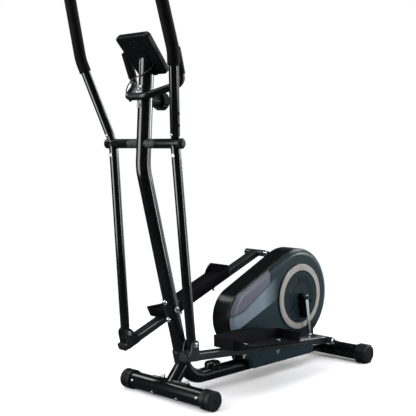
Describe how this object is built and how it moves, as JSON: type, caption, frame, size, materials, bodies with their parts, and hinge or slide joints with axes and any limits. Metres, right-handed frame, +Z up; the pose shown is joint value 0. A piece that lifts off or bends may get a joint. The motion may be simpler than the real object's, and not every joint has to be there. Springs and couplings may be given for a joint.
{
  "type": "elliptical trainer",
  "caption": "Elliptical trainer with a teardrop drive housing, crank-driven pedal bars, swinging arms with foam handlebars, a console and a fixed pulse bar.",
  "frame": {"origin": "on the floor, under the centre of the overall box", "axes": "+X towards the front stabiliser and the console, +Y to the user's left, +Z up"},
  "size_m": [1.2451, 0.505, 1.5046],
  "materials": {
    "tube_paint": "gloss black",
    "cap_plastic": "matt black",
    "spacer_plastic": "satin grey",
    "pedal_plastic": "textured charcoal",
    "bolt_steel": "zinc plated",
    "shaft_steel": "ground",
    "crank_chrome": "polished",
    "wheel_iron": "cast",
    "belt_rubber": "matt",
    "wire_rubber": "satin",
    "grip_foam": "foam",
    "rim_plastic": "gloss black",
    "cover_plastic": "satin slate",
    "ring_plastic": "warm grey",
    "disc_plastic": "satin dark slate",
    "pulley_plastic": "moulded",
    "console_plastic": "satin black",
    "lens_glass": "clear",
    "button_rubber": "soft"
  },
  "bodies": {
    "frame": {"axle": "shaft_steel", "axle_caps": "cap_plastic", "axle_spacers": "spacer_plastic", "beam": "tube_paint", "console_back": "console_plastic", "console_bracket": "tube_paint", "console_front": "console_plastic", "console_lens": "lens_glass", "cover_left": "cover_plastic", "cover_right": "cover_plastic", "cover_rings": "ring_plastic", "cover_screws": "bolt_steel", "crank_bearings": "shaft_steel", "crank_post": "tube_paint", "drive_belt": "belt_rubber", "flywheel_axle": "bolt_steel", "flywheel_fork": "tube_paint", "front_caps": "cap_plastic", "front_stabiliser": "tube_paint", "knob_base": "cap_plastic", "post": "tube_paint", "post_bolts": "bolt_steel", "post_collar": "cap_plastic", "pulse_bar": "tube_paint", "pulse_bolts": "bolt_steel", "pulse_grips": "grip_foam", "pulse_wire": "wire_rubber", "rear_caps": "cap_plastic", "rear_stabiliser": "tube_paint", "rim_band": "rim_plastic", "stabiliser_bolts": "bolt_steel"},
    "crank": {"crank_shaft": "shaft_steel", "crank_arm_left": "crank_chrome", "crank_arm_right": "crank_chrome", "crank_caps": "cap_plastic", "crank_discs": "disc_plastic", "drive_pulley": "pulley_plastic"},
    "flywheel": {"flywheel": "wheel_iron"},
    "knob": {"tension_knob": "cap_plastic"},
    "button_left": {"button_left": "button_rubber"},
    "button_middle": {"button_middle": "button_rubber"},
    "button_right": {"button_right": "button_rubber"},
    "left_arm": {"left_swing_arm": "tube_paint", "left_arm_bushes": "cap_plastic", "left_handlebar": "tube_paint", "left_handle_bolts": "bolt_steel", "left_handle_grip": "grip_foam"},
    "left_bar": {"left_pedal_bar": "tube_paint", "left_bar_plug": "cap_plastic", "left_bar_bolts": "bolt_steel", "left_pedal": "pedal_plastic"},
    "right_arm": {"right_swing_arm": "tube_paint", "right_arm_bushes": "cap_plastic", "right_handlebar": "tube_paint", "right_handle_bolts": "bolt_steel", "right_handle_grip": "grip_foam"},
    "right_bar": {"right_pedal_bar": "tube_paint", "right_bar_plug": "cap_plastic", "right_bar_bolts": "bolt_steel", "right_pedal": "pedal_plastic"}
  },
  "joints": [
    {"name": "crank_spin", "type": "hinge", "parent": "frame", "child": "crank", "pos_m": [-0.3401, 0, 0.2835], "axis": [0, 1, 0], "range_deg": [0, 60]},
    {"name": "flywheel_spin", "type": "hinge", "parent": "frame", "child": "flywheel", "pos_m": [-0.0911, 0, 0.238], "axis": [0, 1, 0], "range_deg": [0, 351]},
    {"name": "left_arm_swing", "type": "hinge", "parent": "frame", "child": "left_arm", "pos_m": [0.4299, 0, 0.883], "axis": [0, 1, 0], "range_deg": [0, 10.49]},
    {"name": "left_bar_pivot", "type": "hinge", "parent": "left_arm", "child": "left_bar", "pos_m": [0.3585, 0.153, 0.22285], "axis": [0, 1, 0], "range_deg": [-4.36, 0]},
    {"name": "right_arm_swing", "type": "hinge", "parent": "frame", "child": "right_arm", "pos_m": [0.4299, 0, 0.883], "axis": [0, 1, 0], "range_deg": [-13.06, 0]},
    {"name": "right_bar_pivot", "type": "hinge", "parent": "right_arm", "child": "right_bar", "pos_m": [0.38218, -0.153, 0.22072], "axis": [0, 1, 0], "range_deg": [0, 4.35]},
    {"name": "knob_turn", "type": "hinge", "parent": "frame", "child": "knob", "pos_m": [0.3619, 0, 1.025], "axis": [1, 0, 0], "range_deg": [0, 270]},
    {"name": "button_left_press", "type": "slide", "parent": "frame", "child": "button_left", "axis": [0.7574, 0, -0.6529], "range_m": [0, 0.0015], "stiffness_N_per_m": 400},
    {"name": "button_middle_press", "type": "slide", "parent": "frame", "child": "button_middle", "axis": [0.7574, 0, -0.6529], "range_m": [0, 0.0015], "stiffness_N_per_m": 400},
    {"name": "button_right_press", "type": "slide", "parent": "frame", "child": "button_right", "axis": [0.7574, 0, -0.6529], "range_m": [0, 0.0015], "stiffness_N_per_m": 400}
  ],
  "couplings": [
    {"joint": "flywheel_spin", "follows": "crank_spin", "ratio": 5.8333},
    {"joint": "left_arm_swing", "follows": "crank_spin", "ratio": 0.17396},
    {"joint": "left_bar_pivot", "follows": "crank_spin", "ratio": -0.071808},
    {"joint": "right_arm_swing", "follows": "crank_spin", "ratio": -0.21681},
    {"joint": "right_bar_pivot", "follows": "crank_spin", "ratio": 0.071677}
  ]
}
